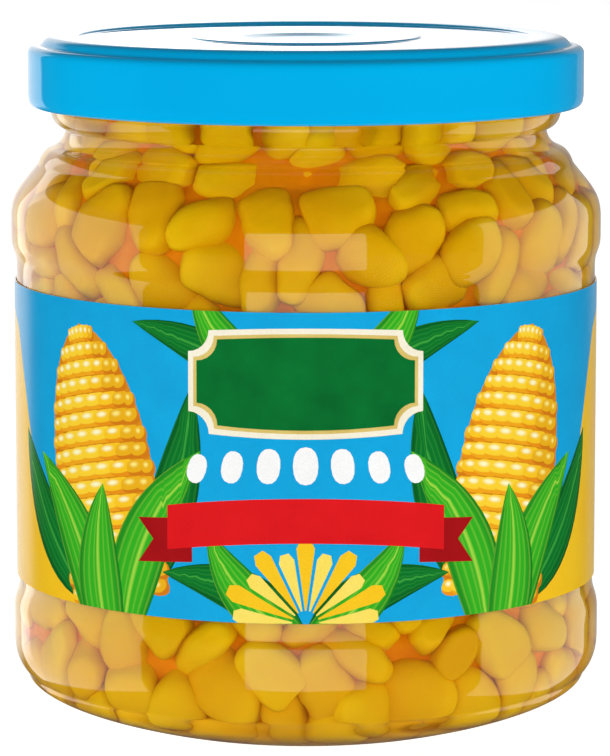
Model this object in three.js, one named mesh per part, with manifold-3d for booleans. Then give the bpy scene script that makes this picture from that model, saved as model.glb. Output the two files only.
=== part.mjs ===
// A shut glass jar of sweet corn: a moulded jar, a twist-off metal lid, a paper label
// wrapped round the straight panel, and the kernels heaped inside it.
//
// Millimetres, +Z up. The origin is the centre of the foot, and the front of the label
// faces -Y. Every round piece turns about Z.
import * as THREE from "three";
import { mergeVertices } from "three/addons/utils/BufferGeometryUtils.js";
import Module from "manifold-3d";

// Driving dimensions. The radii and heights follow the jar from the foot up.
const JAR = {
  height: 103.2, // foot to sealing rim
  wall: 2.6, // glass thickness in the body
  floor: 3.4, // inside floor, at the heel
  push: 1.2, // how far the base is pushed up in the middle
  bearingInner: 26.5, // the flat ring that it stands on
  bearingOuter: 30,
  heel: { radius: 43.4, height: 6.2 },
  band: 45.45, // radius of the two bands, below and above the label
  panel: 44.62, // radius of the straight panel behind the label
  lowerBand: { bottom: 12, top: 16 },
  upperBand: { bottom: 74.2, top: 77 },
  panelBottom: 21,
  panelTop: 69.6,
  shoulder: { radius: 41.3, height: 85.1 }, // where the shoulder meets its top ring
  neck: { radius: 36.95, height: 90.6 },
  bead: { radius: 39.2, height: 93.4 }, // the bead just below the lid
  finish: 38.5, // radius under the lid
  bore: 35.5,
};
const LID = {
  top: 104.75, // foot to the crest of the lid's ring
  bottom: 94,
  radius: 42.68, // over the skirt of an 82 mm twist-off lid
  sheet: 0.5, // lacquered steel, a little over its real gauge
  panelDrop: 0.5, // panel below the crest of the ring
  ringInner: 34.8,
  ringOuter: 40.5,
  ledge: 103.35, // foot to the step outside the ring
  button: 18, // radius of the safety button
};
const LABEL = {
  bottom: 21.7,
  top: 67.4,
  paper: 0.2,
  gap: 0.1, // to the glass
  lapRise: 0.12, // how far the lapped end stands up at the back
  lapSides: 2, // sides of the ring that it covers
};
const KERNEL = {
  length: 11, // crown to tip
  width: 9.2,
  thickness: 6.2,
  tip: 0.3, // half-width of the tip, for a crown of 0.5
  sides: 6,
  pitch: 8.2, // from one to the next
  gap: 0.4, // to the glass
  crownShare: 0.25, // of the kernels, those that show their crown
  tilt: 0.2, // radians, at most, of the others' flanks against the glass
};
const CORE_INSET = 2.2; // from the glass to the core that the kernels are fused to
const HEAP_TOP = 97; // hidden by the lid, like the rim

const SIDES = 40; // of round pieces: a multiple of 4, so that their boxes are centred
const OUTER_STEPS = 3; // points on each curved stretch of an outline
const INNER_STEPS = 2;
const GOLDEN_ANGLE = Math.PI * (3 - Math.sqrt(5));

const wasm = await Module();
wasm.setup();

// Outlines are (radius, height) paths.

function pathPoints(steps, ...paths) {
  const points = [];
  for (const path of paths) {
    for (const point of path.getPoints(steps)) {
      const last = points[points.length - 1];
      if (!last || last.distanceTo(point) > 1e-4) points.push(point);
    }
  }
  return points;
}

// From the middle of the base up to the label panel.
function lowerOutside() {
  const { heel, band, panel, lowerBand } = JAR;
  const path = new THREE.Path();
  path.moveTo(0, JAR.push);
  path.lineTo(JAR.bearingInner - 6, JAR.push - 0.4);
  path.lineTo(JAR.bearingInner, 0);
  path.lineTo(JAR.bearingOuter, 0);
  path.quadraticCurveTo(heel.radius - 0.4, 3.5, heel.radius, heel.height);
  path.lineTo(heel.radius + 0.3, heel.height + 0.6); // a step above the heel
  path.quadraticCurveTo(band, heel.height + 2.4, band, lowerBand.bottom);
  path.lineTo(band, lowerBand.top);
  const ease = (JAR.panelBottom - lowerBand.top) / 2;
  path.bezierCurveTo(
    band, lowerBand.top + ease,
    panel, JAR.panelBottom - ease,
    panel, JAR.panelBottom,
  );
  return path;
}

// From the label panel over the shoulder to the sealing rim.
function upperOutside() {
  const { band, panel, upperBand, shoulder, neck, bead } = JAR;
  const path = new THREE.Path();
  path.moveTo(panel, JAR.panelTop);
  const ease = (upperBand.bottom - JAR.panelTop) / 2;
  path.bezierCurveTo(
    panel, JAR.panelTop + ease,
    band, upperBand.bottom - ease,
    band, upperBand.bottom,
  );
  path.lineTo(band, upperBand.top);
  path.bezierCurveTo(
    band, upperBand.top + 3.6,
    shoulder.radius + 2.7, shoulder.height - 3.5,
    shoulder.radius, shoulder.height,
  );
  path.lineTo(shoulder.radius - 0.25, shoulder.height + 0.5); // its top ring
  path.quadraticCurveTo(40.4, 87.3, 39.2, 87.7);
  path.quadraticCurveTo(neck.radius + 0.5, 88.3, neck.radius, neck.height);
  path.quadraticCurveTo(bead.radius - 0.2, neck.height + 0.3, bead.radius, bead.height);
  path.lineTo(JAR.finish, bead.height + 0.8);
  path.lineTo(JAR.finish, JAR.height - 1.2);
  path.quadraticCurveTo(JAR.finish - 0.2, JAR.height, JAR.finish - 1.5, JAR.height);
  return path;
}

// The inside of the glass, from the middle of the floor up to the mouth. inset moves
// it further in, for what fills the jar.
function inside(inset = 0) {
  const bore = JAR.bore - inset;
  const panel = JAR.panel - JAR.wall - inset;
  const band = JAR.band - JAR.wall - inset;
  const floor = JAR.floor + inset;
  const path = new THREE.Path();
  path.moveTo(0, floor + 0.8);
  path.lineTo(JAR.bearingInner - inset, floor);
  path.bezierCurveTo(
    band - 1.4, floor + 0.2,
    band, floor + 2.1,
    band, JAR.lowerBand.top - 1,
  );
  path.lineTo(panel, JAR.panelBottom + 1);
  path.lineTo(panel, JAR.panelTop - 1);
  path.lineTo(band, JAR.upperBand.bottom);
  path.bezierCurveTo(
    band, JAR.upperBand.top + 3,
    JAR.shoulder.radius - inset, JAR.shoulder.height - 4,
    JAR.shoulder.radius - JAR.wall - inset, JAR.shoulder.height - 1,
  );
  path.quadraticCurveTo(bore + 0.8, JAR.shoulder.height + 1.8, bore, JAR.neck.height);
  path.lineTo(bore, JAR.height - 0.8);
  return path;
}

function jarOutline() {
  const outer = pathPoints(OUTER_STEPS, lowerOutside(), upperOutside());
  const inner = pathPoints(INNER_STEPS, inside());
  return [...outer, ...inner.reverse()];
}

// The lid's upper face, from the middle of the safety button to the rolled edge.
function lidOutside() {
  const { top, bottom, radius, button, ringInner, ringOuter, ledge } = LID;
  const panel = top - LID.panelDrop;
  const path = new THREE.Path();
  path.moveTo(0, panel - 0.5); // the vacuum draws the button down
  path.lineTo(button * 0.45, panel - 0.4);
  path.lineTo(button * 0.63, panel + 0.1);
  path.lineTo(button - 0.8, panel + 0.25);
  path.lineTo(button, panel);
  path.lineTo(ringInner, panel);
  path.quadraticCurveTo(ringInner + 0.3, top, ringInner + 3, top);
  path.quadraticCurveTo(ringOuter - 0.5, top, ringOuter, ledge + 0.15);
  path.quadraticCurveTo(radius - 0.1, ledge, radius, ledge - 1.2);
  path.lineTo(radius, bottom + 1.5);
  path.quadraticCurveTo(radius - 0.1, bottom, radius - 1.1, bottom);
  path.quadraticCurveTo(radius - 1.9, bottom + 0.1, radius - 1.9, bottom + 1.1);
  return path;
}

// Its underside, back from the rolled edge. The ring is packed with sealing compound
// down to the rim of the jar.
function lidInside() {
  const { top, bottom, radius, sheet, button, ringInner } = LID;
  const panel = top - LID.panelDrop - sheet;
  const seal = JAR.height + 0.35;
  const path = new THREE.Path();
  path.moveTo(radius - 1.4, bottom + 1.9);
  path.lineTo(radius - sheet, bottom + 2.5);
  path.lineTo(radius - sheet, LID.ledge - 1.5);
  path.lineTo(JAR.finish + 0.8, seal);
  path.lineTo(ringInner + 0.3, seal);
  path.lineTo(ringInner - 0.2, panel);
  path.lineTo(button, panel);
  path.lineTo(button * 0.45, panel - 0.45);
  path.lineTo(0, panel - 0.5);
  return path;
}

function lidOutline() {
  return pathPoints(OUTER_STEPS, lidOutside(), lidInside()).reverse();
}

// Turns an outline about Z. It starts and ends on the axis, with the solid on its left.
function turned(points, sides = SIDES) {
  const geometry = new THREE.LatheGeometry(points, sides);
  geometry.rotateX(Math.PI / 2);
  return geometry;
}

// A paper ring, whose end laps over its start at the back.
function labelGeometry() {
  const inner = JAR.panel + LABEL.gap;
  const outer = inner + LABEL.paper;
  const lapStart = SIDES / 2;
  const lapEnd = lapStart + LABEL.lapSides;
  const corner = (radius, side) => {
    const angle = (side * 2 * Math.PI) / SIDES - Math.PI / 2; // side 0 is the front
    return new THREE.Vector2(radius * Math.cos(angle), radius * Math.sin(angle));
  };
  const outline = [];
  const hole = [];
  for (let side = 0; side < SIDES; side++) {
    const lapped = side >= lapStart && side <= lapEnd;
    if (side === lapStart) outline.push(corner(outer, side));
    outline.push(corner(lapped ? outer + LABEL.lapRise : outer, side));
    if (side === lapEnd) outline.push(corner(outer, side));
    hole.push(corner(inner, side));
  }
  const ring = new THREE.Shape(outline);
  ring.holes.push(new THREE.Path(hole));
  const geometry = new THREE.ExtrudeGeometry(ring, {
    depth: LABEL.top - LABEL.bottom,
    bevelEnabled: false,
  });
  geometry.translate(0, 0, LABEL.bottom);
  return geometry;
}

// Sweet corn

function solidFrom(geometry) {
  const bare = geometry.clone();
  bare.deleteAttribute("normal");
  bare.deleteAttribute("uv");
  const merged = mergeVertices(bare, 1e-4);
  return new wasm.Manifold(
    new wasm.Mesh({
      numProp: 3,
      vertProperties: new Float32Array(merged.attributes.position.array),
      triVerts: new Uint32Array(merged.index.array),
    }),
  );
}

function geometryFrom(solid) {
  const mesh = solid.getMesh();
  const geometry = new THREE.BufferGeometry();
  geometry.setAttribute("position", new THREE.BufferAttribute(mesh.vertProperties, 3));
  geometry.setIndex(new THREE.BufferAttribute(mesh.triVerts, 1));
  geometry.computeVertexNormals();
  return geometry;
}

// Even, repeatable noise from 0 to 1.
function makeRandom(seed) {
  let state = seed;
  return () => {
    state = (state * 1664525 + 1013904223) % 4294967296;
    return state / 4294967296;
  };
}

// One kernel: a broad crown at +Z that narrows to the cut tip at -Z.
function kernelGeometry(size) {
  const profile = [
    new THREE.Vector2(0, -0.5),
    new THREE.Vector2(KERNEL.tip, -0.5),
    new THREE.Vector2(0.5, 0.2),
    new THREE.Vector2(0, 0.5),
  ];
  const geometry = turned(profile, KERNEL.sides);
  geometry.scale(size * KERNEL.width, size * KERNEL.thickness, size * KERNEL.length);
  return geometry;
}

// Stops along the sides of the core's outline between two heights, each with its
// outward direction and the area turned by the outline up to it.
function stopsBetween(outline, low, high) {
  const stops = [];
  let area = 0;
  for (let i = 1; i < outline.length; i++) {
    const middle = outline[i].clone().add(outline[i - 1]).divideScalar(2);
    const along = outline[i].clone().sub(outline[i - 1]);
    const outward = new THREE.Vector2(along.y, -along.x).normalize();
    if (middle.y < low || middle.y > high || outward.x < 0.5) continue;
    area += 2 * Math.PI * middle.x * along.length();
    stops.push({ middle, outward, area });
  }
  return stops;
}

// How far a point stands out past an outline turned about Z; negative within it.
function beyond(point, outline) {
  const flat = new THREE.Vector2(Math.hypot(point.x, point.y), point.z);
  let nearest = Infinity;
  let over = 0;
  for (let i = 1; i < outline.length; i++) {
    const along = outline[i].clone().sub(outline[i - 1]);
    const length = along.length();
    along.divideScalar(length);
    const offset = flat.clone().sub(outline[i - 1]);
    const t = THREE.MathUtils.clamp(offset.dot(along), 0, length);
    const outside = offset.x * along.y > offset.y * along.x;
    const distance = offset.addScaledVector(along, -t).length();
    if (distance >= nearest) continue;
    nearest = distance;
    over = outside ? distance : -distance;
  }
  return over;
}

// The furthest that the corners and the middles of the edges of a mesh stand out.
function overstep(geometry, outline) {
  const { position } = geometry.attributes;
  const corner = (i) => new THREE.Vector3().fromBufferAttribute(position, i);
  const corners = geometry.index.array;
  let most = -Infinity;
  for (let i = 0; i < corners.length; i++) {
    const next = i % 3 === 2 ? i - 2 : i + 1;
    const start = corner(corners[i]);
    const middle = corner(corners[next]).add(start).divideScalar(2);
    most = Math.max(most, beyond(start, outline), beyond(middle, outline));
  }
  return most;
}

// A kernel on the core: most lie with a flank to the glass, and some show the crown. It
// is moved along the outward direction until it all but meets the glass.
function placedKernel(stop, angle, glassInside, random) {
  const outward = new THREE.Vector3(
    stop.outward.x * Math.cos(angle),
    stop.outward.x * Math.sin(angle),
    stop.outward.y,
  );
  const tilt = () => KERNEL.tilt * (2 * random() - 1);
  const geometry = kernelGeometry(0.92 + 0.2 * random());
  if (random() > KERNEL.crownShare) {
    geometry.rotateX(Math.PI / 2 + tilt());
    geometry.rotateY(tilt());
  }
  geometry.rotateZ(random() * 2 * Math.PI);
  geometry.applyQuaternion(
    new THREE.Quaternion().setFromUnitVectors(new THREE.Vector3(0, 0, 1), outward),
  );
  geometry.translate(
    stop.middle.x * Math.cos(angle),
    stop.middle.x * Math.sin(angle),
    stop.middle.y,
  );
  for (let pass = 0; pass < 3; pass++) {
    const step = -KERNEL.gap - overstep(geometry, glassInside);
    geometry.translate(outward.x * step, outward.y * step, outward.z * step);
  }
  return geometry;
}

// The heap: a plain core, with kernels fused on where the glass shows them. They lie
// in golden-angle spirals, below the label and above it.
function heapGeometry() {
  const random = makeRandom(20);
  const glassInside = pathPoints(INNER_STEPS, inside());
  const fine = new THREE.Path(pathPoints(8, inside(CORE_INSET))).getSpacedPoints(160);
  const coarse = pathPoints(INNER_STEPS, inside(CORE_INSET));
  const coreOutline = coarse.filter((point) => point.y < HEAP_TOP);
  coreOutline.push(new THREE.Vector2(JAR.bore - CORE_INSET, HEAP_TOP - 1));
  coreOutline.push(new THREE.Vector2(0, HEAP_TOP));
  const solids = [solidFrom(turned(coreOutline, SIDES / 2))];
  const shown = [
    [0, LABEL.bottom + 1],
    [LABEL.top - 1, LID.bottom - 2],
  ];
  for (const [low, high] of shown) {
    const stops = stopsBetween(fine, low, high);
    const { area } = stops[stops.length - 1];
    const count = Math.round(area / KERNEL.pitch ** 2);
    for (let k = 0; k < count; k++) {
      const stop = stops.find((each) => each.area >= ((k + 0.5) / count) * area);
      solids.push(solidFrom(placedKernel(stop, k * GOLDEN_ANGLE, glassInside, random)));
    }
  }
  const joined = wasm.Manifold.union(solids);
  // The outer skin alone: what the fusing seals off inside is filled.
  const skins = joined.decompose().sort((a, b) => b.volume() - a.volume());
  return geometryFrom(skins[0]);
}

// Materials

const glass = new THREE.MeshStandardMaterial({
  color: 0xe8efe8,
  roughness: 0.03,
  metalness: 0,
  transparent: true,
  opacity: 0.35,
});
const lacquer = new THREE.MeshStandardMaterial({
  color: 0x00a8e0,
  roughness: 0.18,
  metalness: 0.1,
});
const paper = new THREE.MeshStandardMaterial({
  color: 0x00ade2,
  roughness: 0.3,
  metalness: 0,
});
const corn = new THREE.MeshStandardMaterial({
  color: 0xe2a90c,
  roughness: 0.35,
  metalness: 0,
});

function piece(name, geometry, material) {
  const mesh = new THREE.Mesh(geometry, material);
  mesh.name = name;
  return mesh;
}

const jarOfCorn = new THREE.Group();
jarOfCorn.add(piece("glass_jar", turned(jarOutline()), glass));
jarOfCorn.add(piece("lid", turned(lidOutline()), lacquer));
jarOfCorn.add(piece("label", labelGeometry(), paper));
jarOfCorn.add(piece("sweet_corn", heapGeometry(), corn));

export default jarOfCorn;
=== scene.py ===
"""A shut glass jar of sweet corn: clear glass, brine, kernels, a printed paper label and
a blue twist-off lid. Lengths are in millimetres until a mesh is made, and then in metres.
The jar's axis is Z, and the front of the label faces -Y."""

import math

import bpy
import numpy as np
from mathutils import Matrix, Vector, geometry


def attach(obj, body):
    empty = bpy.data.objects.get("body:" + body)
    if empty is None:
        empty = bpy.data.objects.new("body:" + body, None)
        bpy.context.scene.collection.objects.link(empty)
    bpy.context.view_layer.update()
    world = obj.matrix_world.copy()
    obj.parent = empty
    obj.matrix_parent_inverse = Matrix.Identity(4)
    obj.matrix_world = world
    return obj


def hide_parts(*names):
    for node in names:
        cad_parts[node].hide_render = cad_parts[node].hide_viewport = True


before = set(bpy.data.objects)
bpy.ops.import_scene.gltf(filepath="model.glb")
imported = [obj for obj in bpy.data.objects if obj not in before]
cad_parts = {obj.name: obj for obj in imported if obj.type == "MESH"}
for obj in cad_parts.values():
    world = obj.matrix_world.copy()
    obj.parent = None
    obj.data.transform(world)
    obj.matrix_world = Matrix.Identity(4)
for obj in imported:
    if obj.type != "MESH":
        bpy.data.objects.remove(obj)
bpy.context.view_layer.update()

MM = 0.001

# Sizes: those of the CAD part, but for the floor, which is a little lower, so that corn
# shows down to the foot

JAR_HEIGHT = 103.2
WALL = 2.6
BAND = 45.45  # radius of the two bands
PANEL = 44.62  # radius of the straight panel behind the label
BORE = 35.5
FLOOR = 2.8  # inside, at the heel
LID_TOP = 104.75
LID_BOTTOM = 94.0
LID_RADIUS = 42.68
LID_PANEL = LID_TOP - 0.5  # the flat of the lid, sunk below its ring
LID_BUTTON = 18.0  # radius of the safety button
LID_LEDGE = 103.35  # the step outside the ring
LABEL_BOTTOM = 21.7
LABEL_TOP = 67.4
LABEL_RADIUS = 44.92
LABEL_LAP = math.radians(18) * LABEL_RADIUS
FILL_HEIGHT = 101.0  # top of the brine
BRINE_OVERLAP = 0.12  # how far the brine reaches into the glass


# Outlines and turned pieces


class Outline:
    """A (radius, height) path, drawn with the solid on its left."""

    def __init__(self, r, z):
        self.points = [(r, z)]

    def line(self, r, z, steps=1):
        r0, z0 = self.points[-1]
        for k in range(1, steps + 1):
            t = k / steps
            self.points.append((r0 + (r - r0) * t, z0 + (z - z0) * t))
        return self

    def quad(self, r1, z1, r2, z2, steps=8):
        r0, z0 = self.points[-1]
        for k in range(1, steps + 1):
            t = k / steps
            a, b, c = (1 - t) ** 2, 2 * t * (1 - t), t * t
            self.points.append((a * r0 + b * r1 + c * r2, a * z0 + b * z1 + c * z2))
        return self

    def cubic(self, r1, z1, r2, z2, r3, z3, steps=12):
        r0, z0 = self.points[-1]
        for k in range(1, steps + 1):
            t = k / steps
            a, b, c, d = (
                (1 - t) ** 3,
                3 * t * (1 - t) ** 2,
                3 * t * t * (1 - t),
                t**3,
            )
            self.points.append(
                (
                    a * r0 + b * r1 + c * r2 + d * r3,
                    a * z0 + b * z1 + c * z2 + d * z3,
                )
            )
        return self


def new_object(name, vertices, faces, materials, slots=None, uvs=None):
    """A piece from vertices in millimetres. slots is each face's material; uvs is one
    (u, v) for each corner of each face, in order."""
    mesh = bpy.data.meshes.new(name)
    mesh.from_pydata((np.asarray(vertices) * MM).tolist(), [], faces)
    for material in materials:
        mesh.materials.append(material)
    if slots is not None:
        mesh.polygons.foreach_set("material_index", np.asarray(slots, dtype=np.int32))
    if uvs is not None:
        layer = mesh.uv_layers.new(name="cell")
        layer.data.foreach_set("uv", np.asarray(uvs, dtype=np.float32).ravel())
    mesh.polygons.foreach_set("use_smooth", [True] * len(mesh.polygons))
    mesh.update()
    obj = bpy.data.objects.new(name, mesh)
    bpy.context.scene.collection.objects.link(obj)
    return obj


def turned(name, outline, materials, segments=192, slots=None):
    """Turns a list of (radius, height) about Z into a closed mesh. slots has, for each
    point, the material of the faces between it and the next."""
    angles = np.arange(segments) * 2 * math.pi / segments
    vertices, rings = [], []
    for r, z in outline:
        if r < 1e-6:
            rings.append([len(vertices)])
            vertices.append((0.0, 0.0, z))
            continue
        rings.append(list(range(len(vertices), len(vertices) + segments)))
        for a in angles:
            vertices.append((r * math.sin(a), -r * math.cos(a), z))
    faces, used = [], []
    count = len(rings)
    for k in range(count):
        low, high = rings[k], rings[(k + 1) % count]
        if len(low) == 1 and len(high) == 1:
            continue
        for j in range(segments):
            n = (j + 1) % segments
            if len(low) == 1:
                faces.append((low[0], high[n], high[j]))
            elif len(high) == 1:
                faces.append((low[j], low[n], high[0]))
            else:
                faces.append((low[j], low[n], high[n], high[j]))
            used.append(int(slots[k]) if slots else 0)
    return new_object(name, vertices, faces, materials, used)


def jar_outside():
    path = Outline(0, 1.2)
    path.quad(12, 1.25, 20.5, 0.85, 6).quad(25, 0.6, 26.2, 0.14, 6)
    path.quad(26.5, 0, 27, 0, 3).line(29.2, 0, 3)
    path.quad(29.9, 0, 30.5, 0.14, 3).quad(43, 3.6, 43.4, 6.2, 16)
    path.quad(43.45, 6.6, 43.7, 6.8, 3)
    path.quad(BAND, 8.6, BAND, 12, 12).line(BAND, 16, 4)
    path.cubic(BAND, 18.5, PANEL, 18.5, PANEL, 21, 12)
    path.line(PANEL, 69.6, 12)
    path.cubic(PANEL, 71.9, BAND, 71.9, BAND, 74.2, 12).line(BAND, 77, 2)
    path.cubic(BAND, 80.6, 44, 81.6, 41.35, 85.0, 18)
    path.quad(41.08, 85.35, 41.05, 85.6, 3).quad(40.4, 87.3, 39.2, 87.7, 8)
    path.quad(37.3, 88.3, 36.95, 90.6, 10)
    path.quad(38.9, 90.9, 39.2, 93.1, 10).quad(39.2, 93.9, 38.5, 94.3, 4)
    path.line(38.5, JAR_HEIGHT - 1.2, 4)
    path.quad(38.4, JAR_HEIGHT, 37, JAR_HEIGHT, 6)
    return path.points


def jar_inside(inset=0.0):
    """From the middle of the floor up to the mouth; inset moves it further in."""
    bore, panel = BORE - inset, PANEL - WALL - inset
    band, floor = BAND - WALL - inset, FLOOR + inset
    path = Outline(0, floor + 0.8)
    path.quad(14, floor + 0.75, 26.5 - inset, floor, 8)
    path.cubic(band - 1.4, floor + 0.2, band, floor + 2.1, band, 15, 20)
    path.cubic(band, 18.4, panel, 19, panel, 22, 8)
    path.line(panel, 68.6, 12)
    path.cubic(panel, 71.4, band, 71.8, band, 74.6, 8)
    path.cubic(band, 80, 41.3 - inset, 81.1, 38.7 - inset, 84.1, 14)
    path.quad(bore + 0.5, 86.9, bore, 90.6, 8)
    path.line(bore, JAR_HEIGHT - 1, 6)
    path.quad(bore, JAR_HEIGHT, bore + 1.5, JAR_HEIGHT, 5)
    return path.points


def lid_outline():
    panel, low, ledge = LID_PANEL, LID_BOTTOM, LID_LEDGE
    path = Outline(0, panel - 0.5)
    path.quad(6.5, panel - 0.5, 8.4, panel - 0.32, 6)
    path.quad(9.6, panel - 0.15, 11, panel + 0.08, 6)
    path.line(16.6, panel + 0.24, 5).quad(17.3, panel + 0.3, 17.6, panel + 0.1, 5)
    path.quad(17.8, panel, 18.4, panel, 4).line(33.9, panel, 8)
    path.quad(34.7, panel, 34.9, panel + 0.15, 4)
    path.quad(35.3, LID_TOP, 37.8, LID_TOP, 10).quad(39.8, LID_TOP, 40.4, ledge + 0.35, 10)
    path.quad(40.55, ledge + 0.05, 40.95, ledge, 4)
    path.quad(LID_RADIUS - 0.1, ledge - 0.05, LID_RADIUS, ledge - 1.2, 10)
    path.line(LID_RADIUS, low + 2.1, 6)
    path.quad(LID_RADIUS, low + 1.6, 42.62, low + 1.3, 3)
    path.quad(LID_RADIUS - 0.15, low, 41.5, low, 8)
    path.quad(40.75, low, 40.78, low + 1, 6)
    path.quad(40.85, low + 1.7, 41.4, low + 1.9, 4)
    path.line(42.15, low + 2.6).line(42.15, ledge - 1.6, 3)
    path.line(39.4, 103.55, 2).line(35.1, 103.55, 2).line(34.6, panel - 0.5)
    path.line(LID_BUTTON, panel - 0.5, 3).line(8, panel - 0.95, 2).line(0, panel - 1)
    return path.points[::-1]


# Materials


class Shader:
    """A node material, with short calls for the nodes it is made of."""

    def __init__(self, name, **inputs):
        self.material = bpy.data.materials.new(name)
        self.material.use_nodes = True
        self.tree = self.material.node_tree
        self.tree.nodes.clear()
        self.output = self.node("ShaderNodeOutputMaterial")
        self.surface = self.node("ShaderNodeBsdfPrincipled", **inputs)
        self.link(self.surface, self.output, "Surface")

    def node(self, kind, **inputs):
        node = self.tree.nodes.new(kind)
        for key, value in inputs.items():
            socket = node.inputs[key.replace("_", " ")]
            if isinstance(value, (bpy.types.Node, bpy.types.NodeSocket)):
                self.link(value, node, socket.name)
            else:
                socket.default_value = value
        return node

    def link(self, source, node, name):
        if isinstance(source, bpy.types.Node):
            source = next(s for s in source.outputs if s.enabled)
        self.tree.links.new(source, node.inputs[name])

    def feed(self, name, source):
        self.link(source, self.surface, name)

    def noise(self, scale, detail=3.0):
        node = self.node("ShaderNodeTexNoise", Scale=scale, Detail=detail)
        place = self.node("ShaderNodeTexCoord").outputs["Object"]
        self.link(place, node, "Vector")
        return node.outputs["Fac"]

    def maths(self, operation, a, b=None):
        """One step of arithmetic on the socket a, and on the number b if it takes two."""
        node = self.node("ShaderNodeMath")
        node.operation = operation
        self.link(a, node, "Value")
        if b is not None:
            node.inputs[1].default_value = b
        return node.outputs[0]

    def ramp(self, source, stops):
        node = self.node("ShaderNodeValToRGB")
        self.link(source, node, "Fac")
        elements = node.color_ramp.elements
        while len(elements) < len(stops):
            elements.new(0.5)
        for element, (at, colour) in zip(elements, stops):
            element.position = at
            element.color = rgba(colour)
        return node.outputs["Color"]

    def mix(self, factor, a, b, kind="MIX"):
        node = self.tree.nodes.new("ShaderNodeMix")
        node.data_type = "RGBA"
        node.blend_type = kind
        for index, value in ((0, factor), (6, a), (7, b)):
            if isinstance(value, bpy.types.NodeSocket):
                self.tree.links.new(value, node.inputs[index])
            elif index == 0:
                node.inputs[index].default_value = value
            else:
                node.inputs[index].default_value = rgba(value)
        return node.outputs[2]

    def bump(self, height, strength, distance):
        node = self.node(
            "ShaderNodeBump", Strength=strength, Distance=distance, Height=height
        )
        self.feed("Normal", node)

    def lamps_through(self, colour):
        """Lets lamps shine through clear glass or liquid, tinted by colour."""
        clear = self.node("ShaderNodeBsdfTransparent", Color=rgba(colour))
        path = self.node("ShaderNodeLightPath")
        mix = self.node("ShaderNodeMixShader")
        self.tree.links.new(path.outputs["Is Shadow Ray"], mix.inputs[0])
        self.tree.links.new(self.surface.outputs[0], mix.inputs[1])
        self.tree.links.new(clear.outputs[0], mix.inputs[2])
        self.link(mix, self.output, "Surface")


def rgba(colour, share=1.0):
    """A linear colour from one given as 0-255 sRGB, or a share of it."""
    if len(colour) == 4:
        return colour
    linear = [
        c / 12.92 if c <= 0.04045 else ((c + 0.055) / 1.055) ** 2.4
        for c in (value / 255 for value in colour)
    ]
    return (*(value * share for value in linear), 1.0)


GLASS_IOR, BRINE_IOR = 1.5, 1.33


def glass_material(name, ior):
    """Clear glass; ior is relative to what lies against it."""
    s = Shader(
        name,
        Base_Color=(1.0, 1.0, 1.0, 1.0),
        Roughness=0.0,
        IOR=ior,
        Transmission_Weight=1.0,
    )
    s.bump(s.noise(60.0, 2.0), 0.12, 0.0006)
    s.lamps_through((251, 252, 251))
    return s.material


def brine_material():
    """Brine. Its IOR is 1, as it lies against the wet glass, which bends the light."""
    s = Shader(
        "brine",
        Base_Color=(1.0, 1.0, 1.0, 1.0),
        Roughness=0.0,
        IOR=1.0,
        Transmission_Weight=1.0,
    )
    s.lamps_through((255, 253, 240))
    body = s.node(
        "ShaderNodeVolumeAbsorption", Color=(1.0, 0.86, 0.02, 1.0), Density=40.0
    )
    s.link(body, s.output, "Volume")
    return s.material


def kernel_material(name, light, deep):
    """Moist corn: paler at the cut tip than at the crown."""
    s = Shader(
        name,
        Roughness=0.4,
        IOR=1.36,
        Specular_IOR_Level=0.1,
    )
    place = s.node("ShaderNodeUVMap")
    along = s.node("ShaderNodeSeparateXYZ", Vector=place)
    body = s.ramp(along.outputs["Y"], [(0.0, (230, 188, 8)), (0.3, light), (1.0, deep)])
    mottle = s.noise(380.0, 3.0)
    patch = s.ramp(mottle, [(0.35, (255, 255, 255)), (0.75, (255, 244, 200))])
    colour = s.mix(0.6, body, patch, "MULTIPLY")
    own = s.ramp(along.outputs["X"], [(0.0, (255, 242, 220)), (1.0, (255, 255, 245))])
    s.feed("Base Color", s.mix(0.8, colour, own, "MULTIPLY"))
    s.bump(s.noise(900.0, 4.0), 0.2, 0.0002)
    return s.material


def core_material():
    """The middle of the heap, seen in the gaps between the kernels: the corn's colour,
    made a deeper orange than the kernels as painted shade for the gaps.
    """
    s = Shader("corn_deep_painted_shade", Roughness=0.6, Specular_IOR_Level=0.05)
    # painted shade: a darker orange than the kernels, for the shaded gaps between them
    s.feed(
        "Base Color",
        s.ramp(s.noise(240.0, 3.0), [(0.3, (214, 120, 0)), (0.7, (224, 140, 0))]),
    )
    s.bump(s.noise(240.0, 2.0), 0.5, 0.001)
    return s.material


def lid_material():
    s = Shader(
        "blue_lacquer",
        Roughness=0.04,
        IOR=1.5,
        Specular_IOR_Level=0.5,
    )
    fade = s.noise(30.0, 2.0)
    dark, light = rgba((0, 168, 226), 0.9), rgba((0, 174, 230), 0.9)
    s.feed("Base Color", s.ramp(fade, [(0.3, dark), (0.7, light)]))
    s.bump(s.noise(1400.0, 3.0), 0.02, 0.0001)
    return s.material


def floor_material():
    s = Shader("pale_floor", Roughness=0.8, Emission_Strength=0.93)
    s.surface.inputs["Emission Color"].default_value = (1.0, 1.0, 1.0, 1.0)
    s.feed(
        "Base Color",
        s.ramp(s.noise(3.0, 2.0), [(0.3, (200, 200, 201)), (0.7, (206, 206, 206))]),
    )
    return s.material


# Kernels


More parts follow.
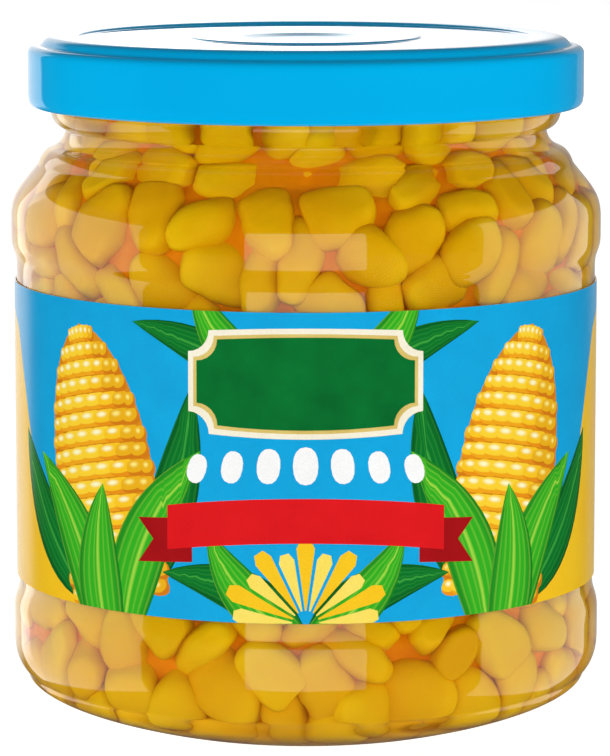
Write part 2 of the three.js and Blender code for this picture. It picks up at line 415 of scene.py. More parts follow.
class Field:
    """Distance to an outline turned about Z, positive on the side of the axis."""

    STEP = 0.4

    def __init__(self, outline):
        a = np.array(outline[:-1])
        b = np.array(outline[1:])
        self.shape = (int(50 / self.STEP), int(110 / self.STEP))
        r, z = np.meshgrid(
            np.arange(self.shape[0]) * self.STEP,
            np.arange(self.shape[1]) * self.STEP,
            indexing="ij",
        )
        p = np.stack([r.ravel(), z.ravel()], 1)
        way = b - a
        t = ((p[:, None] - a) * way).sum(2) / (way**2).sum(1)
        near = a + np.clip(t, 0, 1)[..., None] * way
        away = np.sqrt(((p[:, None] - near) ** 2).sum(2)).min(1)
        crosses = (a[:, 1] > p[:, 1:]) != (b[:, 1] > p[:, 1:])
        rise = np.where(np.abs(way[:, 1]) < 1e-9, 1e-9, way[:, 1])
        at = a[:, 0] + (p[:, 1:] - a[:, 1]) / rise * way[:, 0]
        inner = (crosses & (at > p[:, :1])).sum(1) % 2 == 1
        self.away = np.where(inner, away, -away).reshape(self.shape)
        self.slope_r, self.slope_z = np.gradient(self.away, self.STEP)

    def __call__(self, p):
        """Distances of points, and the directions in which they grow."""
        radius = np.maximum(np.hypot(p[..., 0], p[..., 1]), 1e-6)
        u = np.clip(radius / self.STEP, 0, self.shape[0] - 1.001)
        v = np.clip(p[..., 2] / self.STEP, 0, self.shape[1] - 1.001)
        i, j = u.astype(int), v.astype(int)
        fu, fv = u - i, v - j

        def read(grid):
            return (
                grid[i, j] * (1 - fu) * (1 - fv)
                + grid[i + 1, j] * fu * (1 - fv)
                + grid[i, j + 1] * (1 - fu) * fv
                + grid[i + 1, j + 1] * fu * fv
            )

        out, up = read(self.slope_r), read(self.slope_z)
        grow = np.stack(
            [out * p[..., 0] / radius, out * p[..., 1] / radius, up], -1
        )
        length = np.maximum(np.linalg.norm(grow, axis=-1, keepdims=True), 1e-6)
        return read(self.away), grow / length


KERNEL_LENGTH, KERNEL_WIDTH, KERNEL_THICKNESS = 10.4, 9.2, 6.2
KERNEL_BALLS = np.array(  # centre and radius of the balls that a kernel is packed by
    [
        (-1.9, -0.45, 2.3, 2.45),
        (1.9, -0.45, 2.3, 2.45),
        (-1.5, 0.5, 1.2, 2.4),
        (1.5, 0.5, 1.2, 2.4),
        (0.0, 0.0, -0.8, 2.5),
        (0.0, 0.0, -2.8, 2.0),
    ]
)
KERNEL_COUNT = 398
KERNEL_SEED = 7
HEAP_DEPTH = 7.5  # kernels lie this close to the glass
CORE_DEPTH = 3.2  # from the glass to the plain middle of the heap
CORE_TOP = FILL_HEIGHT - 1.5
GLASS_GAP = 0.12  # between a kernel and the glass that it is pressed to
PACKING_STEPS = 150
PACKING_PULL = 0.35  # how far the first steps move a kernel to the glass
TOUCHING = 12.4  # kernels whose centres are further apart can't meet


def random_turns(rng, count):
    """Rotation matrices, evenly spread."""
    q = rng.normal(size=(count, 4))
    q /= np.linalg.norm(q, axis=1, keepdims=True)
    w, x, y, z = q.T
    return np.stack(
        [
            np.stack([1 - 2 * (y * y + z * z), 2 * (x * y - z * w), 2 * (x * z + y * w)]),
            np.stack([2 * (x * y + z * w), 1 - 2 * (x * x + z * z), 2 * (y * z - x * w)]),
            np.stack([2 * (x * z - y * w), 2 * (y * z + x * w), 1 - 2 * (x * x + y * y)]),
        ]
    ).transpose(2, 0, 1)


def packed_kernels(rng, count, wall, core):
    """Centres and turns of kernels that fill the space between wall and core. They
    start at random, and are pulled to the wall and pushed apart as rigid clusters."""
    centres = np.empty((0, 3))
    while len(centres) < count:
        p = rng.uniform((-44, -44, 3), (44, 44, FILL_HEIGHT - 1), size=(8 * count, 3))
        good = (wall(p)[0] > 2.5) & (core(p)[0] < -2.0)
        centres = np.concatenate([centres, p[good]])[:count]
    turns = random_turns(rng, count)
    sizes = rng.uniform(0.96, 1.18, size=(count, 1))
    local, radii = KERNEL_BALLS[:, :3], KERNEL_BALLS[:, 3]
    local = local - local.mean(0)
    balls = len(local)
    size = count * balls
    for step in range(PACKING_STEPS):
        pull = PACKING_PULL * max(0.0, 1 - 1.15 * step / PACKING_STEPS)
        p = centres[:, None] + np.einsum("kij,bj->kbi", turns, local) * sizes[:, :, None]
        r = radii * sizes
        square = (centres**2).sum(1)
        apart = square[:, None] + square - 2 * centres @ centres.T
        a, b = np.nonzero(np.triu(apart < TOUCHING**2, 1))
        way = p[a][:, :, None] - p[b][:, None]
        length = np.sqrt((way**2).sum(-1))
        over = r[a][:, :, None] + r[b][:, None] - length
        pair, m, n = np.nonzero(over > 0)
        shove = way[pair, m, n] / np.maximum(length[pair, m, n], 1e-6)[:, None]
        shove *= (over[pair, m, n] / 2)[:, None]
        first, second = a[pair] * balls + m, b[pair] * balls + n
        hits = np.bincount(first, minlength=size) + np.bincount(second, minlength=size)
        push = np.stack(
            [
                np.bincount(first, shove[:, axis], size)
                - np.bincount(second, shove[:, axis], size)
                for axis in range(3)
            ],
            -1,
        )
        push /= np.maximum(hits, 1)[:, None] * 0.7
        moved = p + push.reshape(p.shape)
        moved -= wall(moved)[1] * pull
        away, grow = wall(moved)
        moved += grow * np.maximum(r + 0.1 - away, 0)[..., None]
        away, grow = core(moved)
        moved -= grow * np.clip(r - 2.2 + away, 0, 1.5)[..., None]
        moved[..., 2] -= np.maximum(moved[..., 2] + r - FILL_HEIGHT + 0.5, 0)
        middle = moved.mean(1)
        spread = np.einsum("kbi,bj->kij", moved - middle[:, None], local)
        u, _, v = np.linalg.svd(spread)
        u[:, :, 2] *= np.sign(np.linalg.det(u @ v))[:, None]
        turns = u @ v
        centres = middle
    return centres, turns, sizes[:, 0]


def kernel_shape(rng, rows=14, columns=20):
    """One kernel's vertices, its faces, and each vertex's place from tip to crown."""
    t = np.linspace(-math.pi / 2, math.pi / 2, rows + 1)[1:-1]
    around = np.arange(columns) * 2 * math.pi / columns
    full = np.abs(np.cos(t)) ** 0.62
    height = np.sign(np.sin(t)) * np.abs(np.sin(t)) ** 0.9
    share = (height + 1) / 2
    taper = rng.uniform(0.5, 0.66)
    wide = (taper + (1 - taper) * share ** rng.uniform(0.55, 0.9)) * full
    thick = (0.78 + 0.22 * share**0.8) * full
    x = np.sign(np.cos(around)) * np.abs(np.cos(around)) ** 0.8
    y = np.sign(np.sin(around)) * np.abs(np.sin(around)) ** 0.8
    ring = np.stack(
        [
            wide[:, None] * x * KERNEL_WIDTH / 2,
            thick[:, None] * y * KERNEL_THICKNESS / 2,
            np.repeat(height[:, None], columns, 1) * KERNEL_LENGTH / 2,
        ],
        -1,
    ).reshape(-1, 3)
    ends = np.array([(0, 0, -KERNEL_LENGTH / 2), (0, 0, KERNEL_LENGTH / 2)])
    p = np.concatenate([ring, ends])
    dent = rng.uniform(0.3, 0.9)
    p[:, 2] -= (
        dent * np.exp(-(p[:, 0] ** 2 + 2 * p[:, 1] ** 2) / 5) * (p[:, 2] > 2)
    )
    p[:, 1] += rng.uniform(-0.05, 0.05) * (p[:, 2] + 5) ** 2 / 2.5
    for _ in range(4):
        wave = rng.normal(size=3) * 0.55
        bulge = 0.16 * np.sin(p @ wave + rng.uniform(0, 6.28))
        p += bulge[:, None] * p / np.linalg.norm(p, axis=1, keepdims=True)
    faces = []
    last = (rows - 2) * columns
    for j in range(columns):
        n = (j + 1) % columns
        for i in range(rows - 2):
            a, b = i * columns, (i + 1) * columns
            faces.append((a + j, a + n, b + n, b + j))
        faces.append((n, j, last + columns))
        faces.append((last + j, last + n, last + columns + 1))
    along = np.clip(p[:, 2] / KERNEL_LENGTH + 0.5, 0, 1)
    return p, faces, along


def add_kernels(materials):
    """Fills the jar with kernels, as one piece for each kind."""
    rng = np.random.default_rng(KERNEL_SEED)
    wall = Field(jar_inside() + [(0.0, JAR_HEIGHT)])
    core = Field(heap_limit())
    centres, turns, sizes = packed_kernels(rng, KERNEL_COUNT, wall, core)
    pieces = []
    kinds = len(materials)
    for kind, material in enumerate(materials):
        shapes = [kernel_shape(rng) for _ in range(3)]
        vertices, faces, uvs, start = [], [], [], 0
        for k in range(kind, KERNEL_COUNT, kinds):
            p, own_faces, along = shapes[(k // kinds) % len(shapes)]
            p = (p * sizes[k]) @ turns[k].T + centres[k]
            for _ in range(2):  # what meets the glass is pressed flat
                away, grow = wall(p)
                p = p + grow * np.maximum(GLASS_GAP - away, 0)[:, None]
            vertices.append(p)
            own = rng.uniform()
            for face in own_faces:
                faces.append(tuple(start + i for i in face))
                uvs.extend((own, along[i]) for i in face)
            start += len(p)
        piece = new_object(
            f"kernels_{kind + 1}", np.concatenate(vertices), faces, [material], uvs=uvs
        )
        pieces.append(piece)
    return pieces


def heap_limit():
    """Where no kernels are needed: deep in the jar, and close behind the label."""
    deep, near = PANEL - WALL - HEAP_DEPTH, PANEL - WALL - CORE_DEPTH
    floor = FLOOR + HEAP_DEPTH
    path = Outline(0, floor).line(deep - 6, floor, 6)
    path.quad(deep, floor, deep, floor + 6, 6).line(deep, 27, 4)
    path.cubic(deep, 31, near, 29, near, 33, 8).line(near, 56, 10)
    path.cubic(near, 60, deep, 58, deep, 62, 8).line(deep, 76, 6)
    path.cubic(deep, 80, BORE - HEAP_DEPTH, 82, BORE - HEAP_DEPTH, 88, 8)
    path.line(BORE - HEAP_DEPTH, 98, 3).line(0, 98, 6)
    return path.points


def filled(inset, top):
    """The outline of what fills the jar up to a height, with a flat top."""
    points = [p for p in jar_inside(inset) if p[1] < top - 0.5]
    rim = BORE - inset
    return points + Outline(rim, top).line(0, top, 6).points


# The label


class Spot:
    """A place on the print, turned clockwise by tilt degrees."""

    def __init__(self, s, z, tilt=0.0):
        self.s, self.z = s, z
        self.cos, self.sin = math.cos(math.radians(tilt)), math.sin(math.radians(tilt))

    def out(self, x, y):
        """From the spot's own x and y to the print's s and z."""
        return (
            self.s + x * self.cos + y * self.sin,
            self.z - x * self.sin + y * self.cos,
        )

    def own(self, s, z):
        x, y = s - self.s, z - self.z
        return x * self.cos - y * self.sin, x * self.sin + y * self.cos


class Artwork:
    """Printed shapes on the unrolled label: s runs round the jar from the middle of
    the front, to the right, and z is the height. A later shape covers an earlier one.
    Each shape has an ink, and a place(s, z) that says where a point is on it."""

    CUT = 2.2  # the paper bends along lines this far apart

    def __init__(self, left, right, low, high, ink):
        self.points, self.faces, self.edges = [], [], []
        self.inks, self.places = [], []
        self.left, self.low = left, low
        self.wide, self.high = right - left, high - low
        self.shape([(left, low), (right, low), (right, high), (left, high)], ink)
        cuts = int(self.wide / self.CUT)
        for k in range(1, cuts):
            s = left + self.wide * k / cuts
            self.edges.append((len(self.points), len(self.points) + 1))
            self.points += [Vector((s, low)), Vector((s, high))]

    def shape(self, points, ink, place=None):
        turned_left = sum(
            a[0] * b[1] - b[0] * a[1] for a, b in zip(points, points[1:] + points[:1])
        )
        start = len(self.points)
        self.points += [Vector(p) for p in (points if turned_left > 0 else points[::-1])]
        self.faces.append(list(range(start, start + len(points))))
        self.inks.append(ink)
        self.places.append(place or self.sheet)

    def sheet(self, s, z):
        return (s - self.left) / self.wide, (z - self.low) / self.high

    def wrapped(self, name, outside, inside, materials, back):
        """A closed sheet of paper, bent to the radii outside(s) and inside(s). back is
        the material of its back and edges."""
        points, _, faces, _, _, origins = geometry.delaunay_2d_cdt(
            self.points, self.edges, self.faces, 1, 1e-5
        )
        flat = np.array([tuple(p) for p in points])
        kept = [k for k, origin in enumerate(origins) if 0 in origin]
        faces = [faces[k] for k in kept]
        shapes = [max(origins[k]) for k in kept]
        angle = flat[:, 0] / LABEL_RADIUS
        way = np.stack([np.sin(angle), -np.cos(angle), angle * 0], 1)
        rise = np.outer(flat[:, 1], (0, 0, 1))
        front = way * outside(flat[:, 0])[:, None] + rise
        rear = way * inside(flat[:, 0])[:, None] + rise
        count = len(flat)
        solid, slots, uvs, normals = [], [], [], []
        for face, shape in zip(faces, shapes):
            solid.append(face)
            slots.append(self.inks[shape])
            for i in face:
                uvs.append(self.places[shape](*flat[i]))
                normals.append(way[i])
        used = {(a, b) for f in faces for a, b in zip(f, f[1:] + f[:1])}
        for face in faces:
            solid.append([i + count for i in reversed(face)])
            slots.append(back)
            for i in reversed(face):
                uvs.append(self.sheet(*flat[i]))
                normals.append(-way[i])
        for a, b in sorted(used):
            if (b, a) in used:
                continue
            solid.append([b, a, a + count, b + count])
            slots.append(back)
            uvs += [self.sheet(*flat[i]) for i in (b, a, a, b)]
            along = front[b] - front[a]
            side = np.cross(along, way[a])
            normals += [side / max(np.linalg.norm(side), 1e-9)] * 4
        paper = new_object(
            name, np.concatenate([front, rear]), solid, materials, slots, uvs
        )
        paper.data.normals_split_custom_set([tuple(n) for n in normals])
        return paper


def oval(spot, wide, high, power=2.0, count=24):
    points = []
    for k in range(count):
        a = 2 * math.pi * k / count
        x, y = math.cos(a), math.sin(a)
        x = math.copysign(abs(x) ** (2 / power), x)
        y = math.copysign(abs(y) ** (2 / power), y)
        points.append(spot.out(x * wide / 2, y * high / 2))
    return points


def scaled(spot, wide, high):
    """The place of a point on a shape: -1 to 1 over its width and its height."""

    def place(s, z):
        x, y = spot.own(s, z)
        return 2 * x / wide, 2 * y / high

    return place


def add_leaf(art, spot, length, width, bend, ink, count=14):
    """A pointed leaf that grows up from spot; its middle is bend to the side."""

    def half(t):
        return width / 2 * 2.75 * max(t, 0.0) ** 0.6 * max(1 - t, 0.0) ** 0.9

    def middle(t):
        return 4 * bend * (t - t * t)

    def place(s, z):
        x, y = spot.own(s, z)
        t = min(max(y / length, 0.02), 0.98)
        return (x - middle(t)) / max(half(t), 0.05), t

    shares = [k / count for k in range(count + 1)]
    points = [spot.out(middle(t) - half(t), t * length) for t in shares]
    points += [spot.out(middle(t) + half(t), t * length) for t in shares[-2:0:-1]]
    art.shape(points, ink, place)


def add_cob(art, spot, length, width):
    """A cob seen from the side, with its foot at spot: rows of kernels round a spindle."""

    def half(t):
        return width / 2 * (0.9 + 0.1 * math.sin(math.pi * t)) * (1 - t**4.5) ** 0.6

    steps = [k / 24 for k in range(25)]
    points = [spot.out(half(t), t * length) for t in steps]
    points += [spot.out(-half(t), t * length) for t in steps[-2::-1]]
    art.shape(points, INKS.index("cob_gap"), scaled(spot, width, length))
    pitch, turn = 2.55, math.radians(19.5)
    tilt = math.degrees(math.atan2(spot.sin, spot.cos))
    for row in range(int(length / pitch)):
        t = (row + 0.5) * pitch / length
        for column in range(-5, 6):
            angle = (column + 0.5 * (row % 2)) * turn
            wide = 2 * half(t) * math.cos(angle) * math.sin(turn)
            if abs(angle) > 1.35 or wide < 0.8:
                continue
            x = half(t) * math.sin(angle)
            y = t * length - 0.9 * (1 - math.cos(angle))
            own = Spot(*spot.out(x, y), tilt)
            side = min(2, int(abs(angle + 0.25) / 0.45))
            ink = INKS.index(("kernel_lit", "kernel", "kernel_shade")[side])
            outline = oval(own, wide * 0.95, pitch * 0.98, 2.6, 10)
            art.shape(outline, ink, scaled(own, wide, pitch))


def add_plaque(art, spot, wide, high, notch, ink):
    """A blank plaque with hollow corners and slightly bowed long sides."""
    outline = []
    for x, y in ((1, 1), (-1, 1), (-1, -1), (1, -1)):
        arc = []
        for k in range(7):
            a = math.radians(15 * k)
            cx = x * (wide / 2 - notch * math.cos(a))
            cy = y * (high / 2 - notch * math.sin(a))
            arc.append((cx, cy))
        outline += arc[::-1] if x * y > 0 else arc
        if y == x:
            outline += [
                (x * wide * f, y * (high / 2 + 0.5 * (1 - (f / 0.4) ** 2)))
                for f in (0.3, 0.2, 0.1, 0, -0.1, -0.2, -0.3)
            ]
    points = [spot.out(*p) for p in outline]
    art.shape(points, ink, scaled(spot, wide, high))


def add_ribbon(art, spot, wide, high, rise):
    """A blank arched ribbon with folded, swallow-tailed ends."""

    def middle(x):
        return rise * (1 - (2 * x / wide) ** 2)

    place = scaled(spot, wide, high)
    for side in (-1, 1):
        near, far = side * (wide / 2 - 4), side * (wide / 2 + 5)
        low, top = -high / 2 - 1.6, high / 2 - 1.6
        tail = [(near, low), (far, low - 0.6), (far - side * 2.6, -1.9)]
        tail += [(far, top - 0.6), (near, top)]
        points = [spot.out(*p) for p in tail]
        art.shape(points, INKS.index("dark_red"), place)
    steps = [wide * (k / 20 - 0.5) for k in range(21)]
    points = [spot.out(x, middle(x) - high / 2) for x in steps]
    points += [spot.out(x, middle(x) + high / 2) for x in steps[::-1]]
    art.shape(points, INKS.index("red"), place)


def add_rays(art, spot, inner, outer, count):
    """Yellow rays that fan out from spot."""
    for k in range(count):
        middle = math.radians(-84 + 168 * k / (count - 1))
        reach = outer * (1.0 if k % 2 else 0.86)
        wedge = []
        for radius, spread in ((inner, 0.05), (reach * 0.9, 0.12), (reach, 0.06)):
            wedge.append((radius, spread))
        points = [(r, middle - w) for r, w in wedge] + [
            (r, middle + w) for r, w in wedge[::-1]
        ]
        points = [spot.out(r * math.sin(a), r * math.cos(a)) for r, a in points]
        ink = INKS.index("yellow" if k % 2 else "pale_yellow")
        art.shape(points, ink)


PRINT_WHITE = 0.9  # how much light white paper gives back
INKS = [
    "blue",
    "yellow",
    "pale_yellow",
    "leaf",
    "deep_leaf",
    "cream",
    "gold",
    "plaque_green",
    "white",
    "red",
    "dark_red",
    "cob_gap",
    "kernel_lit",
    "kernel",
    "kernel_shade",
    "paper",
]


def add_side_print(art, side):
    """A yellow field beside the jar's front, and a bare panel behind it."""
    low = art.low
    field = Outline(side * 30, low - 1)
    field.cubic(side * 52, low + 6, side * 50, low + 22, side * 60, low + 39, 16)
    field.cubic(side * 68, low + 44, side * 82, low + 44, side * 90, low + 30, 12)
    field.quad(side * 96, low + 12, side * 94, low - 1, 8)
    art.shape(field.points, INKS.index("yellow"))
    panel = Spot(side * 110.5, low + 23)
    for wide, ink in ((30.0, "gold"), (29.2, "cream")):
        art.shape(oval(panel, wide, wide + 6, 9, 32), INKS.index(ink))


def add_cob_print(art, side):
    """Two leaves from behind the plaque, and a cob between leaves."""
    low, leaf, deep = art.low, INKS.index("leaf"), INKS.index("deep_leaf")
    add_leaf(art, Spot(side * 4, 53, side * 62), 26, 6.0, side * -2.5, deep)
    add_leaf(art, Spot(side * 3, 55, side * 40), 22, 6.5, side * 2.0, leaf)
    add_leaf(art, Spot(side * 27, low + 2, side * -17), 34, 8, side * -2, deep)
    add_leaf(art, Spot(side * 36, low + 1, side * 38), 30, 8, side * 2, deep)
    add_cob(art, Spot(side * 30, low + 2, side * 11), 41, 21)
    add_leaf(art, Spot(side * 29, low - 5, side * -24), 33, 9, side * 3, leaf)
    add_leaf(art, Spot(side * 33, low - 5, side * 30), 31, 9, side * -3, leaf)
    add_leaf(art, Spot(side * 31, low - 7, side * 4), 26, 9, side * 2, leaf)


def add_foot_print(art):
    """Rays at the foot of the label, between low leaves."""
    low, leaf, deep = art.low, INKS.index("leaf"), INKS.index("deep_leaf")
    for side in (-1, 1):
        add_leaf(art, Spot(0, low - 3, side * 66), 24, 7, side * -3, deep)
        add_leaf(art, Spot(0, low - 3, side * 42), 22, 7, side * 2, leaf)
    add_rays(art, Spot(0, low), 2.0, 12.5, 11)


def label_art():
    """Blue ground, yellow fields at the sides, two cobs, a blank plaque and a blank
    ribbon, with leaves, rays and a row of drops; two bare panels at the back."""
    start = -math.pi * LABEL_RADIUS
    ground = INKS.index("blue")
    art = Artwork(start, -start + LABEL_LAP, LABEL_BOTTOM, LABEL_TOP, ground)
    for side in (-1, 1):
        add_side_print(art, side)
    for side in (-1, 1):
        add_cob_print(art, side)
    add_foot_print(art)

    plaque = Spot(0, 57)
    for wide, high, ink in (
        (35.0, 15.2, "cream"),
        (33.4, 13.6, "gold"),
        (32.4, 12.6, "plaque_green"),
    ):
        add_plaque(art, plaque, wide, high, 3.2, INKS.index(ink))

    for k in range(-3, 4):
        drop = Spot(5.4 * k, 45.0 - 0.09 * k * k, -6 * k)
        size = 1 - 0.07 * abs(k)
        art.shape(oval(drop, 3.7 * size, 5.6 * size, 2.3, 16), INKS.index("white"))
    add_ribbon(art, Spot(0, 35.2), 42, 6.6, 1.7)
    return art


def label_inks():
    """The inks' materials, in the order of INKS."""

    def ink(name, dark, light):
        s = Shader(name, Roughness=0.22, IOR=1.45, Specular_IOR_Level=0.4)
        dark, light = rgba(dark, PRINT_WHITE), rgba(light, PRINT_WHITE)
        cloud = s.ramp(s.noise(160.0), [(0.3, dark), (0.7, light)])
        grain = s.noise(5200.0, 2.0)
        dots = s.ramp(grain, [(0.42, (236, 236, 236)), (0.6, (255, 255, 255))])
        s.feed("Base Color", s.mix(0.35, cloud, dots, "MULTIPLY"))
        s.bump(s.noise(2600.0, 3.0), 0.12, 0.00006)
        return s

    def plain(name, dark, light):
        return ink(name, dark, light).material

    def leafy(name, dark, middle, rib):
        """Fine stripes along a leaf, and a pale rib down its middle."""
        s = ink(name, dark, middle)
        dark, middle, rib = (rgba(c, PRINT_WHITE) for c in (dark, middle, rib))
        parts = s.node("ShaderNodeSeparateXYZ", Vector=s.node("ShaderNodeUVMap"))
        across = s.maths("ABSOLUTE", parts.outputs["X"])
        body = s.ramp(across, [(0.0, rib), (0.1, middle), (0.55, middle), (1.0, dark)])
        wave = s.maths("SINE", s.maths("MULTIPLY", parts.outputs["X"], 24.0))
        lines = s.ramp(wave, [(0.2, (0, 0, 0)), (0.95, (255, 255, 255))])
        faint = s.mix(0.75, lines, (0, 0, 0))
        s.feed("Base Color", s.mix(faint, body, rib))
        return s.material

    def kernel(name, lit, body, shade):
        """A plump kernel: a pale glint at the top left, darker at the lower right."""
        s = ink(name, body, body)
        lit, body, shade = (rgba(c, PRINT_WHITE) for c in (lit, body, shade))
        away = s.node("ShaderNodeVectorMath")
        away.operation = "DISTANCE"
        s.link(s.node("ShaderNodeUVMap"), away, "Vector")
        away.inputs[1].default_value = (-0.3, 0.4, 0.0)
        near = s.ramp(
            away.outputs["Value"],
            [(0.12, lit), (0.42, body), (0.9, body), (1.5, shade)],
        )
        s.feed("Base Color", near)
        return s.material

    glint, gold, shade = (255, 250, 200), (252, 200, 24), (236, 146, 8)
    return [
        plain("label_blue", (0, 164, 222), (0, 172, 230)),
        plain("label_yellow", (253, 198, 8), (255, 206, 24)),
        plain("label_pale_yellow", (255, 224, 80), (255, 232, 110)),
        leafy("label_leaf", (14, 128, 28), (48, 178, 30), (170, 222, 70)),
        leafy("label_deep_leaf", (0, 84, 30), (4, 118, 40), (60, 168, 60)),
        plain("label_cream", (248, 240, 214), (253, 247, 226)),
        plain("label_gold", (214, 186, 96), (232, 206, 120)),
        plain("label_plaque_green", (0, 104, 42), (0, 122, 50)),
        plain("label_white", (250, 250, 248), (255, 255, 255)),
        plain("label_red", (222, 10, 18), (232, 16, 24)),
        plain("label_dark_red", (160, 4, 12), (176, 8, 16)),
        plain("label_cob_gap", (214, 130, 6), (228, 148, 14)),
        kernel("label_kernel_lit", glint, (254, 212, 44), (244, 168, 14)),
        kernel("label_kernel", glint, gold, shade),
        kernel("label_kernel_shade", (254, 232, 120), (238, 178, 14), (214, 122, 6)),
        plain("label_paper", (236, 232, 222), (246, 243, 236)),
    ]


def add_label():
    lap = math.pi * LABEL_RADIUS  # where the end starts to lie over the start

    def eased(s):
        t = np.clip((s - lap + 3.5) / 3.5, 0, 1)
        return t * t * (3 - 2 * t)

    def outside(s):
        return LABEL_RADIUS + 0.13 * eased(s)

    def inside(s):
        return LABEL_RADIUS - 0.2 + 0.22 * eased(s)

    back = INKS.index("paper")
    return label_art().wrapped("paper_label", outside, inside, label_inks(), back)


# The scene


# The camera, fitted to the photo, in metres and degrees
CAMERA_PLACE = (0.0, -0.6451, 0.14395)
CAMERA_DIP = 8.157
CAMERA_LENS = 200.0
CAMERA_SHIFT = -0.0009

# The panels that the glass mirrors, and the soft lights, in metres and degrees
PANEL_DISTANCE = 1.7
SOFT_DISTANCE = 1.8
SOFT_WIDTH, SOFT_HEIGHT = 1.8, 0.36
SOFT_ELEVATION = 5.5

BACK_LIGHT = 2.5  # radiance of the brightest part of the band behind the jar
BACK_LEVELS = [  # share of the way from left to right, and the band's level there
    (0.17, 0.0),
    (0.185, 0.4),
    (0.44, 0.45),
    (0.48, 1.0),
    (0.518, 0.58),
    (0.56, 0.15),
    (0.74, 0.07),
    (0.76, 0.0),
]


def add_camera():
    camera = bpy.data.cameras.new("camera")
    camera.lens = CAMERA_LENS
    camera.sensor_width = 36.0
    camera.clip_end = 50.0
    camera.shift_x = CAMERA_SHIFT
    obj = bpy.data.objects.new("camera", camera)
    obj.location = CAMERA_PLACE
    obj.rotation_euler = (math.pi / 2 - math.radians(CAMERA_DIP), 0.0, 0.0)
    bpy.context.scene.collection.objects.link(obj)
    bpy.context.scene.camera = obj


PANEL_LIT = bpy.data.collections.new("glass_alone")
LID_LIT = bpy.data.collections.new("lid_alone")


def add_light(name, wide, high, radiance):
    """A rectangle that shines, and that the camera doesn't see."""
    light = bpy.data.lights.new(name, "AREA")
    light.shape = "RECTANGLE"
    light.size, light.size_y = wide, high
    light.energy = radiance * math.pi * wide * high
    obj = bpy.data.objects.new(name, light)
    obj.visible_camera = False
    bpy.context.scene.collection.objects.link(obj)
    return obj


def add_panel(name, azimuth, span, low, high, radiance):
    """A soft panel that the glass mirrors. Azimuth 0 is behind the camera and 90 to the
    right; low and high are the elevations of its edges, in degrees."""
    distance, a = PANEL_DISTANCE, math.radians(azimuth)
    wide = 2 * distance * math.tan(math.radians(span / 2))
    bottom, top = (distance * math.tan(math.radians(e)) for e in (low, high))
    obj = add_light(name, wide, top - bottom, radiance)
    middle = 0.05 + (top + bottom) / 2
    obj.location = (distance * math.sin(a), -distance * math.cos(a), middle)
    obj.rotation_euler = (math.pi / 2, 0.0, a)
    obj.light_linking.receiver_collection = PANEL_LIT


def add_world():
    """White for the camera. For the rest: dim in front, lighter behind the jar, and
    brightest low down behind it, which the lid's top and the edges of the glass mirror."""
    world = bpy.data.worlds.new("studio")
    bpy.context.scene.world = world
    world.use_nodes = True
    tree = world.node_tree
    tree.nodes.clear()
    output = tree.nodes.new("ShaderNodeOutputWorld")
    place = tree.nodes.new("ShaderNodeTexCoord")
    parts = tree.nodes.new("ShaderNodeSeparateXYZ")
    tree.links.new(place.outputs["Generated"], parts.inputs[0])

    def ramp(axis, start, end, low, high):
        node = tree.nodes.new("ShaderNodeMapRange")
        for name, value in (
            ("From Min", start),
            ("From Max", end),
            ("To Min", low),
            ("To Max", high),
        ):
            node.inputs[name].default_value = value
        tree.links.new(parts.outputs[axis], node.inputs["Value"])
        return node.outputs[0]

    def maths(operation, a, b):
        node = tree.nodes.new("ShaderNodeMath")
        node.operation = operation
        tree.links.new(a, node.inputs[0])
        tree.links.new(b, node.inputs[1])
        return node.outputs[0]

    sides = tree.nodes.new("ShaderNodeValToRGB")
    tree.links.new(ramp("X", -1.0, 1.0, 0.0, 1.0), sides.inputs["Fac"])
    elements = sides.color_ramp.elements
    while len(elements) < len(BACK_LEVELS):
        elements.new(0.5)
    for element, (at, level) in zip(elements, BACK_LEVELS):
        element.position = at
        element.color = (level, level, level, 1.0)
    back = ramp("Y", 0.5, 0.6, 0.0, BACK_LIGHT)
    back = maths("MULTIPLY", back, ramp("Z", 0.28, 0.4, 1.0, 0.0))
    back = maths("MULTIPLY", back, ramp("Z", -0.3, -0.2, 0.0, 1.0))
    back = maths("MULTIPLY", back, sides.outputs["Color"])
    strength = maths("ADD", ramp("Y", 0.5, 0.9, 0.02, 0.08), back)
    path = tree.nodes.new("ShaderNodeLightPath")
    shades = [tree.nodes.new("ShaderNodeBackground") for _ in range(2)]
    tree.links.new(strength, shades[0].inputs["Strength"])
    seen = tree.nodes.new("ShaderNodeMixShader")
    tree.links.new(path.outputs["Is Camera Ray"], seen.inputs[0])
    tree.links.new(shades[0].outputs[0], seen.inputs[1])
    tree.links.new(shades[1].outputs[0], seen.inputs[2])
    tree.links.new(seen.outputs[0], output.inputs[0])
    for shade in shades:
        shade.inputs["Color"].default_value = (1.0, 1.0, 1.0, 1.0)
    shades[1].inputs["Strength"].default_value = 1.0


def add_fill(name, azimuth, radiance, elevation=SOFT_ELEVATION, only=None):
    """A soft light that lights matt surfaces and makes no reflections. only is the
    collection it lights, if not all."""
    obj = add_light(name, SOFT_WIDTH, SOFT_HEIGHT, radiance)
    obj.data.cycles.use_multiple_importance_sampling = False  # else glass dims it
    a, e = math.radians(azimuth), math.radians(elevation)
    way = Vector((math.sin(a) * math.cos(e), -math.cos(a) * math.cos(e), math.sin(e)))
    obj.location = way * SOFT_DISTANCE + Vector((0, 0, 0.04))
    obj.rotation_euler = way.to_track_quat("Z", "Y").to_euler()
    obj.visible_glossy = False
    obj.visible_transmission = False
    obj.light_linking.receiver_collection = only


def add_floor():
    size, cells = 6000, 8
    row = cells + 1
    steps = np.linspace(-size, size, row)
    vertices = [(x, y, 0) for y in steps for x in steps]
    faces = [
        (row * j + i, row * j + i + 1, row * (j + 1) + i + 1, row * (j + 1) + i)
        for j in range(cells)
        for i in range(cells)
    ]
    floor = new_object("floor", vertices, faces, [floor_material()])
    floor.visible_glossy = False


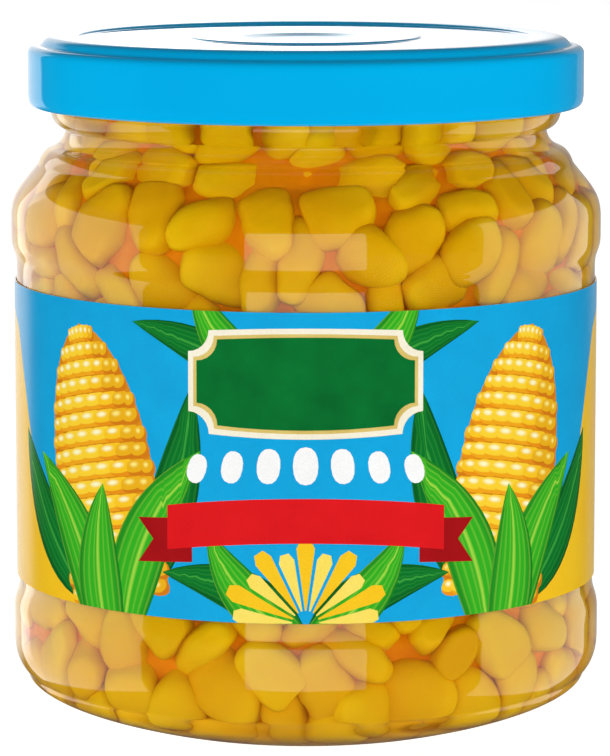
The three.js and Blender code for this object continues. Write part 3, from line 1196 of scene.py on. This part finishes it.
def dress(piece, slot, *nodes):
    """Puts a piece on the body root and hides the nodes that it stands for. slot is not
    used.
    """
    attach(piece, "root")
    if nodes:
        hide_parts(*nodes)


add_camera()
add_world()
add_panel("front_panel", 0, 46, -16, 18, 1.7)
add_panel("left_panel", -108, 84, -34, 25, 1.35)
add_panel("right_panel", 106, 70, -40, 25, 1.15)
add_fill("front_fill", 0, 6.2)
add_fill("left_fill", -68, 6.2)
add_fill("right_fill", 68, 6.6)
add_fill("back_fill", 180, 5.0)
add_fill("lid_left_fill", -86, 2.0, only=LID_LIT)
add_fill("lid_right_fill", 86, 2.2, only=LID_LIT)
add_fill("lid_top_fill", 0, 3.8, elevation=80, only=LID_LIT)
add_floor()

outside = jar_outside()
outline = outside + jar_inside()[::-1][1:]
# The inner wall is wet up to the top of the brine
wet = [k > len(outside) and z < FILL_HEIGHT for k, (_, z) in enumerate(outline)]
glasses = [
    glass_material("clear_glass", GLASS_IOR),
    glass_material("wet_glass", GLASS_IOR / BRINE_IOR),
]
glass = turned("glass", outline, glasses, slots=wet)
dress(glass, "glass", "glass_jar")
PANEL_LIT.objects.link(glass)

brine = turned("brine", filled(-BRINE_OVERLAP, FILL_HEIGHT), [brine_material()])
dress(brine, "corn")

lid = turned("twist_off_lid", lid_outline(), [lid_material()])
dress(lid, "lid_lacquer", "lid")
LID_LIT.objects.link(lid)

middle = filled(CORE_DEPTH, CORE_TOP)
core = turned("corn_core", middle, [core_material()], segments=96)
dress(core, "corn", "sweet_corn")
kinds = [
    kernel_material("corn_1", (222, 177, 2), (220, 171, 2)),
    kernel_material("corn_2", (224, 181, 4), (222, 174, 2)),
    kernel_material("corn_3", (220, 173, 2), (218, 165, 1)),
]
for piece in add_kernels(kinds):
    dress(piece, "corn", "sweet_corn")

dress(add_label(), "label_paper", "label")

scene = bpy.context.scene
scene.view_settings.view_transform = "Standard"
scene.view_settings.look = "None"
scene.cycles.max_bounces = 24
scene.cycles.diffuse_bounces = 10
scene.cycles.transmission_bounces = 14
scene.cycles.transparent_max_bounces = 16
